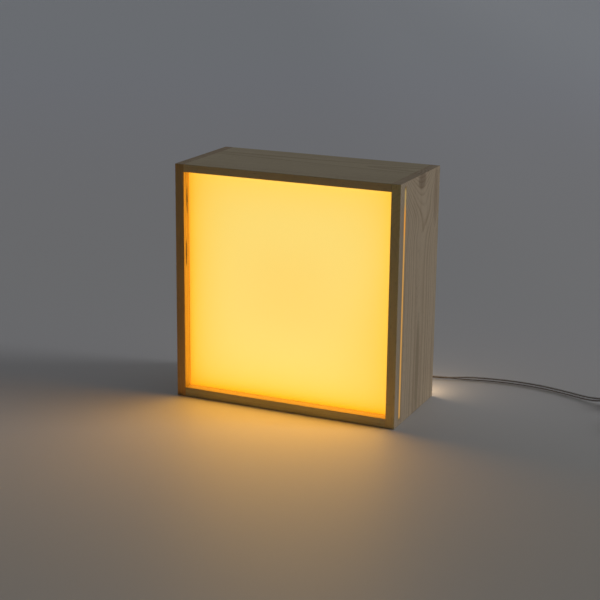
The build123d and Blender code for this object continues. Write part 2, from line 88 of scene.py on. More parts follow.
def centreline(points, name):
    """The smooth line of a route: a NURBS spline with the route's points as its control points."""
    curve = bpy.data.curves.new(name, "CURVE")
    curve.dimensions = "3D"
    curve.resolution_u = 10
    spline = curve.splines.new("NURBS")
    spline.points.add(len(points) - 1)
    for p, co in zip(spline.points, points):
        p.co = (*co, 1.0)
    spline.order_u = 3
    spline.use_endpoint_u = True
    obj = bpy.data.objects.new(name, curve)
    scene.collection.objects.link(obj)
    dg = bpy.context.evaluated_depsgraph_get()
    mesh = bpy.data.meshes.new_from_object(obj.evaluated_get(dg))
    line = [v.co.copy() for v in mesh.vertices]
    bpy.data.meshes.remove(mesh)
    bpy.data.objects.remove(obj)
    bpy.data.curves.remove(curve)
    return line


def arc_lengths(line):
    s = [0.0]
    for a, b in zip(line[:-1], line[1:]):
        s.append(s[-1] + (b - a).length)
    return s


def smooth01(x):
    x = min(1.0, max(0.0, x))
    return x * x * (3 - 2 * x)


def sweep_profile(name, line, lean, profile, offset=(0.0, 0.0), closed_ends=True):
    """A closed profile swept along the line. lean(s, total) is the angle of the profile's wide axis above the level, in radians."""
    s = arc_lengths(line)
    n, m = len(line), len(profile)
    verts, faces, uvs = [], [], []
    for i, p in enumerate(line):
        t = (line[min(i + 1, n - 1)] - line[max(i - 1, 0)]).normalized()
        side = t.cross(Vector((0, 0, 1))).normalized()
        over = side.cross(t).normalized()
        a = lean(s[i], s[-1])
        wide = math.cos(a) * side + math.sin(a) * over
        thin = -math.sin(a) * side + math.cos(a) * over
        for k, (u, v) in enumerate(profile):
            verts.append(p + wide * (u + offset[0]) + thin * (v + offset[1]))
            uvs.append((k / m, s[i] / 0.01))
    for i in range(n - 1):
        for k in range(m):
            a, b = i * m + k, i * m + (k + 1) % m
            faces.append((a, b, b + m, a + m))
    if closed_ends:
        faces.append(tuple(reversed(range(m))))
        faces.append(tuple(range((n - 1) * m, n * m)))
    obj = new_object(name, verts, faces, uvs)
    bm = bmesh.new()
    bm.from_mesh(obj.data)
    bmesh.ops.recalc_face_normals(bm, faces=bm.faces)
    bm.to_mesh(obj.data)
    bm.free()
    return obj


def twin_profile(w=6.6, t=3.3, waist=147, n=11):
    """Outline of a flat two-core lead: two round lobes and the web between them."""
    r = t / 2
    c = w / 2 - r
    pts = []
    for sign in (1, -1):
        for k in range(n):
            a = math.radians(-waist + 2 * waist * k / (n - 1))
            pts.append((sign * (c + r * math.cos(a)) * MM, sign * r * math.sin(a) * MM))
    return pts


def circle(r, n=8):
    return [(r * MM * math.cos(2 * math.pi * k / n), r * MM * math.sin(2 * math.pi * k / n)) for k in range(n)]


def twin_lead(name, line, lean):
    """The clear sheath, and the two stranded cores inside it as its children."""
    sheath = sweep_profile(name, line, lean, twin_profile())
    cores = []
    for side in (-1, 1):
        core = sweep_profile(f"{name}_core_{'a' if side < 0 else 'b'}", line, lean, circle(0.66), (side * 1.65 * MM, 0.0))
        core.parent = sheath
        cores.append(core)
    return sheath, cores


# ------------------------------------------------------------------ the lead
lamp_side = [
    mm(85, 89, 20),
    mm(85, 106, 20),
    mm(89.5, 121, 15.2),
    mm(101, 131, 8.6),
    mm(121, 133.8, 3.2),
    mm(150, 141.4, 3.34),
    mm(190, 154.5, 3.4),
    mm(232, 160.2, 3.4),
    mm(272, 157.8, 3.4),
    mm(308, 148.4, 3.4),
    mm(342, 135.5, 3.9),
    mm(365, 129, 8.5),
    mm(384, 129, 8.5),
]
COIL = mm(452, 64, 0)
R_OUT, PITCH_R, LAYER = 44.0, 3.6, 6.6
Z1, Z2 = 4.0, 10.6
coil_points = []
PER_TURN = 16
steps = int(2.5 * PER_TURN)
grow = 1.0 / (0.75 + 0.25 * math.cos(2 * math.pi / PER_TURN))
for k in range(1, 2 * steps):
    turns = k / PER_TURN
    inward = min(turns, 5.0 - turns)
    r = (R_OUT - PITCH_R * inward) * grow
    a = math.radians(4.0) - 2 * math.pi * turns
    climb = smooth01((turns - 2.5) / 0.36 + 0.5)
    z = Z1 + (Z2 - Z1) * climb
    coil_points.append(COIL + mm(r * math.cos(a), r * math.sin(a), z))
plug_end = [
    mm(444, 129, 8.5),
    mm(460, 129, 8.5),
    mm(478, 121.8, 5.8),
    mm(490, 106, 4.5),
    mm(495.4, 86, 4.1),
    *coil_points,
    mm(496, 64, 10.6),
    mm(496, 48.5, 10.6),
    mm(494, 34, 8.6),
    mm(489, 20.5, 6.85),
    mm(489, 7, 6.85),
]

lamp_line = centreline(lamp_side, "lamp_side_line")
plug_line = centreline(plug_end, "plug_side_line")
HALF_TURN = math.pi / 2


def lamp_lean(s, total):
    return HALF_TURN * (smooth01((s - 0.084) / 0.05) - smooth01((s - (total - 0.042)) / 0.034))


def plug_lean(s, total):
    return HALF_TURN * (smooth01((s - 0.014) / 0.06) - smooth01((s - (total - 0.048)) / 0.038))


lead_a, cores_a = twin_lead("lead_lamp_side", lamp_line, lamp_lean)
lead_b, cores_b = twin_lead("lead_plug_side", plug_line, plug_lean)

# inner end of the lead, from the sleeve's free end to the bared cores
tail_line = [mm(85, 89 - 59 * k / 11, 20) for k in range(12)]
tail, cores_t = twin_lead("lead_inner_end", tail_line, lambda s, total: 0.0)

for piece, nodes in (
    (lead_a, ["power_cord_lamp_side"]),
    (lead_b, ["power_cord_coil_side", "cord_coil", "power_cord_plug_side"]),
    (tail, ["inner_cord_tail"]),
):
    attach(piece, "lamp")
    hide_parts(*nodes)


def tie_band():
    """A soft band round the coil at its left side, wrapped on itself."""
    x0, x1 = COIL.x - 43.95 * MM, COIL.x - 33.15 * MM
    z0, z1 = 0.55 * MM, 14.05 * MM
    loop = []
    rc = 1.6 * MM
    corners = [(x0, z0, 180), (x1, z0, 270), (x1, z1, 0), (x0, z1, 90)]
    for cx_, cz_, start in corners:
        ox = cx_ + rc if cx_ == x0 else cx_ - rc
        oz = cz_ + rc if cz_ == z0 else cz_ - rc
        for k in range(7):
            a = math.radians(start + 90 * k / 6)
            loop.append((ox + rc * math.cos(a), oz + rc * math.sin(a), math.cos(a), math.sin(a)))
    verts, faces, uvs = [], [], []
    half, t = 5.0 * MM, 0.5 * MM
    # once round, closed on itself
    path = loop + loop[:1]
    n = len(path)
    ring = [(-1, -1), (-1, 1), (1, 1), (1, -1)]
    for i, (x, z, nx, nz) in enumerate(path[:-1]):
        for v, d in ring:
            verts.append((x + nx * (t / 2) * (1 + d) * 0.5 - nx * t * 0.0, COIL.y + v * half, z + nz * (t / 2) * (1 + d) * 0.5))
            uvs.append((v, i / n))
    m = n - 1
    for i in range(m):
        j = (i + 1) % m
        for k in range(4):
            a, b = i * 4 + k, i * 4 + (k + 1) % 4
            c, d = j * 4 + (k + 1) % 4, j * 4 + k
            faces.append((a, b, c, d))
    obj = new_object("tie_band", verts, faces, uvs, smooth=False)
    bm = bmesh.new()
    bm.from_mesh(obj.data)
    bmesh.ops.recalc_face_normals(bm, faces=bm.faces)
    bm.to_mesh(obj.data)
    bm.free()
    return obj


tie = tie_band()
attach(tie, "lamp")
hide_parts("coil_tie")

length_a, length_b = arc_lengths(lamp_line)[-1], arc_lengths(plug_line)[-1]
print(f"lead: lamp side {length_a * 1000:.0f} mm, plug side {length_b * 1000:.0f} mm, with the switch {(length_a + length_b) * 1000 + 60:.0f} mm")


# ------------------------------------------------------------------ material helpers
class Tree:
    """Short names for building a material's nodes."""

    def __init__(self, name):
        self.mat = bpy.data.materials.new(name)
        self.mat.use_nodes = True
        self.t = self.mat.node_tree
        self.t.nodes.clear()
        self.out = self.t.nodes.new("ShaderNodeOutputMaterial")
        self.b = self.t.nodes.new("ShaderNodeBsdfPrincipled")
        self.t.links.new(self.b.outputs[0], self.out.inputs[0])
        self._xyz = None

    def put(self, socket, value):
        if hasattr(value, "is_output"):
            self.t.links.new(value, socket)
        else:
            socket.default_value = value

    def node(self, kind, outs=0, ins=(), **props):
        n = self.t.nodes.new(kind)
        for k, v in props.items():
            setattr(n, k, v)
        for key, v in dict(ins).items():
            self.put(n.inputs[key], v)
        return n.outputs[outs]

    def math(self, op, a, b=0.0, c=0.0, clamp=False):
        n = self.t.nodes.new("ShaderNodeMath")
        n.operation = op
        n.use_clamp = clamp
        for i, v in enumerate((a, b, c)):
            self.put(n.inputs[i], v)
        return n.outputs[0]

    def add(self, a, b):
        return self.math("ADD", a, b)

    def sub(self, a, b):
        return self.math("SUBTRACT", a, b)

    def mul(self, a, b):
        return self.math("MULTIPLY", a, b)

    def step(self, x, lo, hi, to0=0.0, to1=1.0):
        """Smooth change from to0 to to1 as x goes from lo to hi."""
        n = self.t.nodes.new("ShaderNodeMapRange")
        n.interpolation_type = "SMOOTHSTEP"
        for i, v in enumerate((x, lo, hi, to0, to1)):
            self.put(n.inputs[i], v)
        return n.outputs[0]

    def xyz(self):
        """Position in the row frame, in mm."""
        if self._xyz is None:
            co = self.node("ShaderNodeTexCoord", 3)
            n = self.t.nodes.new("ShaderNodeSeparateXYZ")
            self.t.links.new(co, n.inputs[0])
            self._xyz = [self.mul(n.outputs[i], 1000.0) for i in range(3)]
        return self._xyz

    def vec(self, a, b, c):
        n = self.t.nodes.new("ShaderNodeCombineXYZ")
        for i, v in enumerate((a, b, c)):
            self.put(n.inputs[i], v)
        return n.outputs[0]

    def noise(self, vector, scale=1.0, detail=2.0, rough=0.5):
        n = self.t.nodes.new("ShaderNodeTexNoise")
        n.noise_dimensions = "3D"
        self.put(n.inputs["Vector"], vector)
        n.inputs["Scale"].default_value = scale
        n.inputs["Detail"].default_value = detail
        n.inputs["Roughness"].default_value = rough
        return n.outputs[0]

    def mix(self, f, a, b, blend="MIX"):
        n = self.t.nodes.new("ShaderNodeMix")
        n.data_type = "RGBA"
        n.blend_type = blend
        self.put(n.inputs[0], f)
        self.put(n.inputs[6], a)
        self.put(n.inputs[7], b)
        return n.outputs[2]

    def bump(self, height, strength=0.3, distance=0.0005):
        n = self.t.nodes.new("ShaderNodeBump")
        n.inputs["Strength"].default_value = strength
        n.inputs["Distance"].default_value = distance
        self.put(n.inputs["Height"], height)
        self.put(self.b.inputs["Normal"], n.outputs[0])
        return n

    def set(self, **kw):
        names = {
            "color": "Base Color",
            "rough": "Roughness",
            "metal": "Metallic",
            "spec": "Specular IOR Level",
            "ior": "IOR",
            "alpha": "Alpha",
            "coat": "Coat Weight",
            "coat_rough": "Coat Roughness",
            "emit": "Emission Color",
            "power": "Emission Strength",
            "trans": "Transmission Weight",
            "sub": "Subsurface Weight",
            "sub_scale": "Subsurface Scale",
        }
        for k, v in kw.items():
            self.put(self.b.inputs[names[k]], v)
        return self.mat


def rgb(r, g, b):
    """Linear colour from display values 0 to 255."""
    def lin(c):
        c /= 255.0
        return c / 12.92 if c <= 0.04045 else ((c + 0.055) / 1.055) ** 2.4

    return (lin(r), lin(g), lin(b), 1.0)


def dress(mat, *names):
    for n in names:
        o = NODES[n] if isinstance(n, str) else n
        o.data.materials.clear()
        o.data.materials.append(mat)


# ------------------------------------------------------------------ pine
def pine(name, along, across, through, centre, pith, period=3.4, taper=(0.0, 60.0, 300.0), wave=5.0, seed=0.0, light=(204, 184, 152), dark=(158, 128, 92), figure=0.8, knots=(), sway=None, marks=(), painted_face_light=()):
    """Planed pine. along, across and through are the axes (0 to 2) of the grain, the board's width and its thickness.
    pith is where the tree's middle lies across and through, from centre. taper (size, length, where) makes the arches:
    the rings widen by size * exp((along - where) / length). sway (size, where, length) shifts the pith sideways around
    one place. marks are soft darker places (along, half length, across, half width, colour, strength, raggedness), and
    the last argument, a list of (axis, sign, factors), scales the colour of the faces that look that way: painted light
    and shade, warm where the panel's glow falls, darker on the upper faces and lighter on the front edges."""
    m = Tree(name)
    p = m.xyz()
    a, b, c = p[along], m.sub(p[across], centre[0]), m.sub(p[through], centre[1])
    wob = m.noise(m.vec(m.mul(a, 1 / 170.0), m.math("MULTIPLY_ADD", b, 1 / 75.0, seed), m.mul(c, 1 / 75.0)), 1.0, 2.0, 0.45)
    wob2 = m.noise(m.vec(m.mul(a, 1 / 60.0), m.math("MULTIPLY_ADD", b, 1 / 17.0, seed + 7.3), m.mul(c, 1 / 17.0)), 1.0, 2.0, 0.5)
    bb = m.add(m.sub(b, pith[0]), m.mul(m.sub(wob, 0.5), wave * 2.4))
    if sway:
        off = m.mul(m.sub(a, sway[1]), 1.0 / sway[2])
        bb = m.sub(bb, m.mul(m.math("EXPONENT", m.mul(m.mul(off, off), -1.0)), sway[0]))
    cc = m.sub(c, pith[1])
    d = m.math("SQRT", m.add(m.mul(bb, bb), m.mul(cc, cc)))
    if taper[0]:
        d = m.sub(d, m.mul(m.math("EXPONENT", m.mul(m.sub(a, taper[2]), 1.0 / taper[1])), taper[0]))
    d = m.add(d, m.mul(m.sub(wob2, 0.5), wave * 0.30))
    knot_mask = None
    for ka, kb, kr in knots:
        dist = m.math("SQRT", m.add(m.math("POWER", m.mul(m.sub(a, ka), 1 / (kr * 1.5)), 2.0), m.math("POWER", m.mul(m.sub(b, kb), 1 / kr), 2.0)))
        d = m.add(d, m.mul(m.step(dist, 0.7, 3.6, 1.0, 0.0), kr * 0.9))
        k = m.step(dist, 0.75, 1.05, 1.0, 0.0)
        knot_mask = k if knot_mask is None else m.math("MAXIMUM", knot_mask, k)
    ring = m.mul(d, 1.0 / period)
    frac = m.math("FRACT", ring)
    which = m.math("FLOOR", ring)
    wn = m.t.nodes.new("ShaderNodeTexWhiteNoise")
    wn.noise_dimensions = "1D"
    m.put(wn.inputs["W"], m.add(which, seed))
    rand = wn.outputs["Value"]
    rise = m.step(frac, 0.30, 0.90)
    fall = m.step(frac, 0.90, 1.0, 1.0, 0.0)
    late = m.mul(m.math("POWER", m.mul(rise, fall), 1.4), m.math("MULTIPLY_ADD", rand, 0.65, 0.35))
    fibre = m.noise(m.vec(m.mul(a, 1 / 22.0), m.mul(b, 1 / 0.45), m.mul(c, 1 / 0.45)), 1.0, 3.0, 0.62)
    streak = m.noise(m.vec(m.mul(a, 1 / 320.0), m.math("MULTIPLY_ADD", b, 1 / 13.0, seed + 3.1), m.mul(c, 1 / 13.0)), 1.0, 3.0, 0.5)
    cloud = m.noise(m.vec(m.mul(a, 1 / 90.0), m.math("MULTIPLY_ADD", b, 1 / 60.0, seed + 11.0), m.mul(c, 1 / 60.0)), 1.0, 2.0, 0.5)
    geo = m.t.nodes.new("ShaderNodeNewGeometry")
    nrm = m.t.nodes.new("ShaderNodeSeparateXYZ")
    m.t.links.new(geo.outputs["True Normal"], nrm.inputs[0])
    narrow = m.step(m.math("ABSOLUTE", nrm.outputs[1]), 0.4, 0.8)
    end_cut = m.step(m.math("ABSOLUTE", nrm.outputs[along]), 0.4, 0.8)
    late = m.mul(late, m.math("MULTIPLY_ADD", narrow, -0.62, 1.0))
    amount = m.math("MULTIPLY_ADD", end_cut, 0.22, m.mul(late, figure))
    amount = m.add(amount, m.mul(m.sub(fibre, 0.5), 0.34))
    amount = m.add(amount, m.mul(m.sub(streak, 0.5), 0.9))
    amount = m.math("ADD", amount, m.mul(m.sub(cloud, 0.5), 0.35), clamp=True)
    col = m.mix(amount, rgb(*light), rgb(*dark))
    # thin resin canals
    canal = m.noise(m.vec(m.mul(a, 1 / 9.0), m.mul(b, 1 / 0.7), m.mul(c, 1 / 0.7)), 1.0, 0.0, 0.5)
    col = m.mix(m.mul(m.step(canal, 0.70, 0.80), 0.35), col, rgb(120, 84, 52))
    if knot_mask is not None:
        rings = m.noise(m.vec(m.mul(a, 1 / 3.0), m.mul(b, 1 / 2.0), m.mul(c, 1 / 2.0)), 1.0, 3.0, 0.6)
        col = m.mix(m.mul(knot_mask, m.math("MULTIPLY_ADD", rings, 0.5, 0.45)), col, rgb(92, 58, 34))
    for ma, ha, mb, hb, tone, strength, ragged in marks:
        u, v = m.mul(m.sub(a, ma), 1.0 / ha), m.mul(m.sub(b, mb), 1.0 / hb)
        away = m.math("SQRT", m.add(m.mul(u, u), m.mul(v, v)))
        away = m.add(away, m.mul(m.sub(m.noise(m.vec(m.mul(a, 1 / 7.0), m.mul(b, 1 / 1.6), m.mul(c, 1 / 1.6)), 1.0, 3.0, 0.6), 0.5), ragged * 2.0))
        broad = m.step(m.math("ABSOLUTE", nrm.outputs[through]), 0.4, 0.8)
        col = m.mix(m.mul(m.mul(m.step(away, 0.55, 1.15, 1.0, 0.0), broad), strength), col, rgb(*tone))
    # painted light and shade by facing: each face's colour is scaled by which way it looks, warm where the panel's glow
    # falls, darker on top, lighter on the front edges
    for axis, sign, factors in painted_face_light:
        facing = m.step(m.mul(nrm.outputs[axis], sign), 0.55, 0.9)
        col = m.mix(facing, col, m.mix(1.0, col, (*factors, 1.0), "MULTIPLY"))
    rough = m.math("MULTIPLY_ADD", fibre, 0.20, 0.46)
    m.bump(m.add(m.mul(late, 0.5), m.mul(fibre, 0.8)), 0.35, 0.00022)
    m.set(color=col, rough=rough, spec=0.35)
    return m


# Each board's last argument paints light and shade by face: warm glow on the faces towards the chamber, darker upper
# faces, lighter front edges.
right_pine = pine(
    "pine_right", 2, 1, 0, (0, 144), (7, -46.0), period=4.2, taper=(27.0, 28.0, 304.0), seed=2.0,
    light=(213, 193, 165), dark=(166, 138, 105), figure=0.62, sway=(13.0, 251.0, 22.0),
    marks=(
        (297, 13, 5, 15, (120, 92, 66), 0.50, 0.12),
        (272, 44, 56, 8, (138, 104, 76), 0.32, 0.12),
        (58, 78, 6, 7, (128, 106, 72), 0.42, 0.15),
        (150, 160, -60, 10, (176, 162, 142), 0.5, 0.10),
    ),
    painted_face_light=((1, -1, (1.34, 1.44, 1.04)), (0, -1, (0.95, 0.82, 0.35)), (2, 1, (0.78, 0.76, 0.72))),
)
left_pine = pine(
    "pine_left", 2, 1, 0, (0, -144), (-20, 60), period=3.0, seed=9.0,
    marks=((258, 20, -61.5, 2.2, (44, 14, 6), 1.0, 0.55), (190, 20, -64, 1.9, (56, 20, 8), 1.0, 0.6)),
    painted_face_light=((1, -1, (1.22, 1.02, 0.64)), (0, 1, (0.84, 0.72, 0.14)), (2, 1, (0.78, 0.76, 0.74))),
)
top_pine = pine(
    "pine_top", 0, 1, 2, (0, 299), (25, -48), period=3.3, taper=(6.0, 160.0, 150.0), seed=17.0, figure=0.6,
    painted_face_light=((1, -1, (1.50, 1.48, 1.18)), (2, 1, (0.9, 0.95, 0.94)), (2, -1, (0.95, 0.85, 0.4))),
)
bottom_pine = pine(
    "pine_bottom", 0, 1, 2, (0, 6), (-10, 42), period=3.0, seed=31.0,
    painted_face_light=((1, -1, (1.13, 1.38, 1.40)), (2, 1, (1.0, 0.86, 0.32))),
)
dress(right_pine.mat, "right_side_board")
dress(left_pine.mat, "left_side_board")
dress(top_pine.mat, "top_board")
dress(bottom_pine.mat, "bottom_board")
block_pine = pine("pine_blocks", 1, 0, 2, (0, 0), (12, -30), period=2.6, seed=5.0)
dress(block_pine.mat, "corner_blocks")
dowel = pine("beech_dowel", 0, 1, 2, (0, 0), (3, -20), period=1.8, seed=8.0, light=(206, 172, 132), dark=(170, 128, 90), figure=0.4)
dress(dowel.mat, "corner_dowels")

# ------------------------------------------------------------------ the opal panel, lit from behind by the loop of LEDs
# The glow belongs to the case, so it is laid out by position in the row frame and not on the sheet: the part of the
# sheet that is drawn out of the slot is unlit.
m = Tree("opal_lit")
geo = m.t.nodes.new("ShaderNodeNewGeometry")
sep = m.t.nodes.new("ShaderNodeSeparateXYZ")
m.t.links.new(geo.outputs["Position"], sep.inputs[0])
x, y, z = (m.mul(sep.outputs[i], 1000.0) for i in range(3))
zz = m.sub(z, 153.0)


def rise(d, length, start=0.0):
    """1 far from an edge, start at the edge, d in mm."""
    d = m.math("MAXIMUM", d, 0.0)
    return m.math("MULTIPLY_ADD", m.math("EXPONENT", m.mul(d, -1.0 / length)), start - 1.0, 1.0)


edges = m.mul(
    m.mul(rise(m.add(x, 138.5), 28.0), rise(m.sub(142.0, x), 22.0)),
    m.mul(rise(m.sub(294.0, z), 28.0, 0.48), rise(m.sub(z, 11.0), 24.0)),
)
driver_x, driver_z = m.mul(m.sub(x, 126.0), 1 / 62.0), m.mul(m.sub(z, 88.0), 1 / 88.0)
driver_d = m.add(m.mul(driver_x, driver_x), m.mul(driver_z, driver_z))
dim = m.math("MULTIPLY_ADD", m.math("EXPONENT", m.mul(driver_d, -1.0)), -0.26, 1.0)
edges = m.mul(edges, dim)
reach = m.math(
    "POWER",
    m.add(m.math("POWER", m.math("ABSOLUTE", x), 3.0), m.math("POWER", m.math("ABSOLUTE", zz), 3.0)),
    1 / 3.0,
)
ring = m.step(reach, 12.0, 96.0)
edges = m.math("MAXIMUM", edges, 0.012)
blue = m.mul(m.mul(m.mul(m.math("POWER", edges, 1.1), rise(m.sub(z, 12.0), 7.0, 0.1)), m.math("MULTIPLY_ADD", ring, 0.16, 0.84)), 0.150)
green_part = m.mul(m.mul(m.math("POWER", edges, 0.18), m.math("MULTIPLY_ADD", ring, 0.05, 0.95)), 0.66)
cc = m.t.nodes.new("ShaderNodeCombineColor")
m.put(cc.inputs[0], 0.90)
m.put(cc.inputs[1], green_part)
m.put(cc.inputs[2], blue)
# in the slot only a dull glow is left, and none outside the case
in_slot = m.step(x, 139.0, 144.0)
slot_tone = m.mix(m.step(z, 250.0, 284.0), (0.50, 0.235, 0.035, 1.0), (0.34, 0.22, 0.06, 1.0))
slot_tone = m.mix(m.step(m.math("ABSOLUTE", m.sub(z, 256.0)), 26.0, 8.0), slot_tone, (0.62, 0.235, 0.01, 1.0))
glow = m.mix(in_slot, cc.outputs[0], slot_tone)
unlit = m.mul(m.step(x, 150.2, 151.0, 1.0, 0.0), m.math("MAXIMUM", m.math("SUBTRACT", 1.0, in_slot), m.mul(m.step(z, 300.0, 292.0), m.step(z, 6.5, 13.0))))
# painted shade: the part of the sheet inside the slot gets a dark brown base colour for the shade of the slot's walls
slot_painted_shade = m.mul(in_slot, m.step(x, 150.2, 151.0, 1.0, 0.0))
grain = m.noise(m.vec(x, y, z), 1.4, 2.0, 0.5)
sheet = m.mix(grain, (0.79, 0.78, 0.73, 1.0), (0.76, 0.75, 0.70, 1.0))
m.set(color=m.mix(slot_painted_shade, sheet, (0.30, 0.24, 0.12, 1.0)), rough=m.math("MULTIPLY_ADD", grain, 0.08, 0.26), spec=0.4, emit=glow, power=unlit)
dress(m.mat, "diffuser_panel")


# ------------------------------------------------------------------ plain working materials
def plastic(name, col, rough=0.38, grain=0.5, tint=0.04):
    m = Tree(name)
    x, y, z = m.xyz()
    v = m.vec(x, y, z)
    fine = m.noise(v, 2.2, 3.0, 0.6)
    broad = m.noise(v, 0.09, 2.0, 0.5)
    c = rgb(*col)
    shade = tuple(k * (1 - 2.2 * tint) for k in c[:3]) + (1.0,)
    m.set(color=m.mix(broad, c, shade), rough=m.math("MULTIPLY_ADD", fine, 0.16, rough - 0.08), spec=0.45)
    m.bump(fine, 0.12 * grain, 0.0001)
    return m.mat


def metal(name, col, rough=0.3, axis=1):
    m = Tree(name)
    x, y, z = m.xyz()
    s = [x, y, z]
    s[axis] = m.mul(s[axis], 0.06)
    brush = m.noise(m.vec(*s), 4.0, 3.0, 0.6)
    c = rgb(*col)
    m.set(color=m.mix(brush, c, tuple(k * 0.72 for k in c[:3]) + (1.0,)), metal=1.0, rough=m.math("MULTIPLY_ADD", brush, 0.22, rough - 0.1))
    m.bump(brush, 0.1, 0.0001)
    return m.mat


white_gloss = plastic("moulded_white", (236, 236, 232), 0.30, 0.6)
white_soft = plastic("soft_white", (222, 222, 218), 0.46, 1.0)
nylon = plastic("nylon", (228, 224, 210), 0.42, 0.8)
zinc = metal("zinc", (176, 178, 182), 0.36)
nickel = metal("nickel", (198, 194, 182), 0.22)
brass = metal("brass", (206, 164, 92), 0.3, 0)
copper = metal("copper_strand", (150, 96, 70), 0.42)
black_soft = plastic("black_sleeve", (26, 26, 28), 0.5, 1.0)
wire_brown = plastic("wire_insulation", (96, 58, 40), 0.42, 0.6)
green = plastic("circuit_green", (38, 92, 52), 0.34, 0.5)
dress(white_gloss, "switch_lower_shell", "switch_upper_shell", "plug_body")
dress(plastic("rocker_white", (228, 228, 224), 0.26, 0.4), "switch_rocker")
dress(white_soft, "strain_relief", tie)
dress(nylon, "terminal_block", "cord_clamp_base", "cord_clamp_bridge")
dress(plastic("driver_white", (224, 225, 222), 0.44, 1.2), "driver_base", "driver_cover")
dress(zinc, "back_panel_screws", "terminal_screws", "cord_clamp_screws", "driver_screws", "switch_screws", "rocker_pin")
dress(nickel, "plug_pins")
dress(brass, "switch_contacts")
dress(black_soft, "plug_pin_sleeves")
dress(wire_brown, "driver_input_leads", "driver_output_leads", "strip_jumper_leads")
dress(green, "driver_circuit_board")
m = Tree("components")
x, y, z = m.xyz()
fine = m.noise(m.vec(x, y, z), 1.6, 3.0, 0.6)
tape = m.mul(m.mul(m.step(z, 103.0, 103.5), m.step(z, 122.5, 123.0, 1.0, 0.0)), m.step(m.math("ABSOLUTE", m.sub(x, 116.0)), 6.8, 7.2, 1.0, 0.0))
film = m.mul(m.step(z, 129.0, 129.5), m.mul(m.step(z, 138.5, 139.0, 1.0, 0.0), m.step(x, 117.5, 118.0)))
can = m.mul(m.step(z, 98.0, 98.5, 1.0, 0.0), m.step(y, 43.4, 43.8, 1.0, 0.0))
col = m.mix(fine, rgb(58, 58, 64), rgb(40, 40, 46))
col = m.mix(tape, col, rgb(206, 172, 66))
col = m.mix(film, col, rgb(150, 44, 34))
col = m.mix(can, col, rgb(176, 178, 182))
m.set(color=col, rough=m.math("MULTIPLY_ADD", fine, 0.18, 0.32), spec=0.45)
m.bump(fine, 0.15, 0.0001)
dress(m.mat, "driver_components")
dress(copper, "inner_cord_cores", "switch_inner_cores")

# sheath and cores of the lead
m = Tree("clear_sheath")
x, y, z = m.xyz()
fine = m.noise(m.vec(x, y, z), 0.8, 2.0, 0.5)
m.set(color=rgb(186, 184, 178), rough=m.math("MULTIPLY_ADD", fine, 0.12, 0.16), spec=0.5, alpha=0.20, ior=1.5)
clear = m.mat
dress(clear, lead_a, lead_b, tail)
m = Tree("core_strands")
uv = m.node("ShaderNodeTexCoord", 2)
sep = m.t.nodes.new("ShaderNodeSeparateXYZ")
m.t.links.new(uv, sep.inputs[0])
lay = m.math("SINE", m.mul(m.add(m.mul(sep.outputs[0], 6.0), m.mul(sep.outputs[1], 1.1)), 2 * math.pi))
lay = m.math("MULTIPLY_ADD", lay, 0.5, 0.5)
m.set(color=m.mix(lay, rgb(58, 44, 36), rgb(104, 76, 58)), rough=0.4, metal=0.6)
m.bump(lay, 0.5, 0.0002)
dress(m.mat, *cores_a, *cores_b, *cores_t)

# back panel: birch plywood, white on the inside
m = Tree("birch_ply")
x, y, z = m.xyz()
ply = m.noise(m.vec(m.mul(x, 1 / 9.0), m.mul(y, 1 / 9.0), m.mul(z, 1 / 190.0)), 1.0, 4.0, 0.6)
fleck = m.noise(m.vec(m.mul(x, 1 / 0.8), m.mul(y, 1 / 0.8), m.mul(z, 1 / 7.0)), 1.0, 2.0, 0.55)
face = m.mix(m.math("ADD", m.mul(m.sub(ply, 0.35), 1.4), m.mul(m.sub(fleck, 0.5), 0.3), clamp=True), rgb(218, 196, 158), rgb(186, 154, 112))
layers = m.math("SINE", m.mul(m.sub(y, 62.0), 2 * math.pi / 1.67))
rim = m.mix(m.step(layers, -0.2, 0.2), rgb(206, 176, 132), rgb(134, 98, 64))
geo = m.t.nodes.new("ShaderNodeNewGeometry")
nrm = m.t.nodes.new("ShaderNodeSeparateXYZ")
m.t.links.new(geo.outputs["True Normal"], nrm.inputs[0])
on_face = m.step(m.math("ABSOLUTE", nrm.outputs[1]), 0.6, 0.8)
col = m.mix(on_face, rim, face)
inside = m.step(y, 62.02, 62.12, 1.0, 0.0)
col = m.mix(inside, col, rgb(232, 230, 224))
m.set(color=col, rough=m.math("MULTIPLY_ADD", fleck, 0.15, 0.5), spec=0.3)
m.bump(m.add(fleck, ply), 0.25, 0.0002)
dress(m.mat, "back_panel")

# LED strips and chips
m = Tree("strip_board")
x, y, z = m.xyz()
zc = m.sub(z, 153.0)
upright = m.step(m.math("ABSOLUTE", zc), 74.9, 75.1, 1.0, 0.0)
flat = m.sub(1.0, upright)
u = m.add(m.mul(flat, x), m.mul(upright, m.sub(zc, 25.0)))
v = m.sub(m.math("ABSOLUTE", m.add(m.mul(flat, zc), m.mul(upright, x))), 82.0)
u = m.sub(m.math("FRACT", m.math("MULTIPLY_ADD", u, 1 / 50.0, 0.5)), 0.5)
u = m.math("ABSOLUTE", m.mul(u, 50.0))
v = m.math("ABSOLUTE", v)
fine = m.noise(m.vec(x, y, z), 2.6, 3.0, 0.6)
